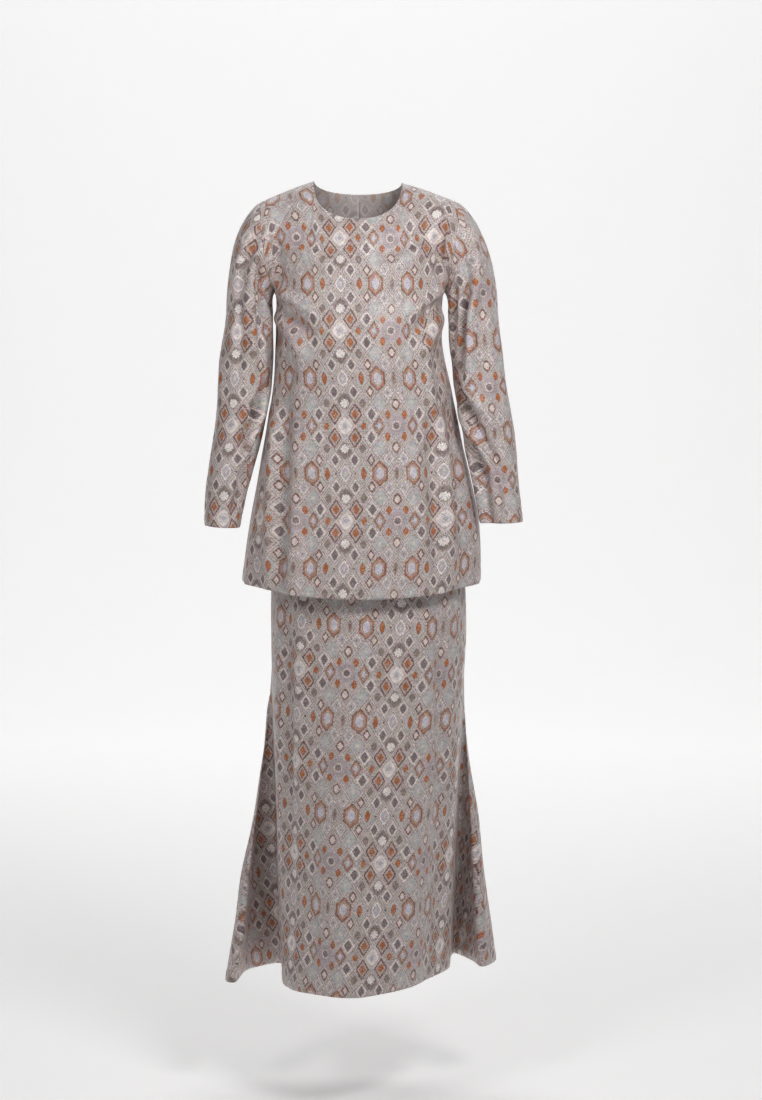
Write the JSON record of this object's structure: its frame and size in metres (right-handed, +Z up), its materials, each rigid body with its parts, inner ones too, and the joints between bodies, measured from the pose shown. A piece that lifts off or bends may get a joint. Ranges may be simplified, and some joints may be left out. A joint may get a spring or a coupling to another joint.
{
  "type": "baju kurung",
  "caption": "Long-sleeved round-neck tunic over a long flared skirt, in printed satin, standing open as worn.",
  "frame": {"origin": "middle of the garment between its two shoulder seams, half way along their slope, where the wearer's shoulders hold it", "axes": "+Z up, front towards -Y, the side at the left of a front view towards -X"},
  "size_m": [0.5202, 0.3663, 1.3307],
  "materials": {
    "printed_satin": "soft low sheen, small diamond print",
    "waistband_satin": "matt, gathered on elastic",
    "loop_satin": "soft sheen",
    "button_shell": "polished"
  },
  "bodies": {
    "root": {"top_front": "printed_satin", "top_back": "printed_satin", "sleeve_left": "printed_satin", "sleeve_right": "printed_satin", "neck_button": "button_shell", "button_loop": "loop_satin", "skirt_front": "printed_satin", "skirt_back": "printed_satin", "skirt_waistband": "waistband_satin"}
  },
  "joints": []
}
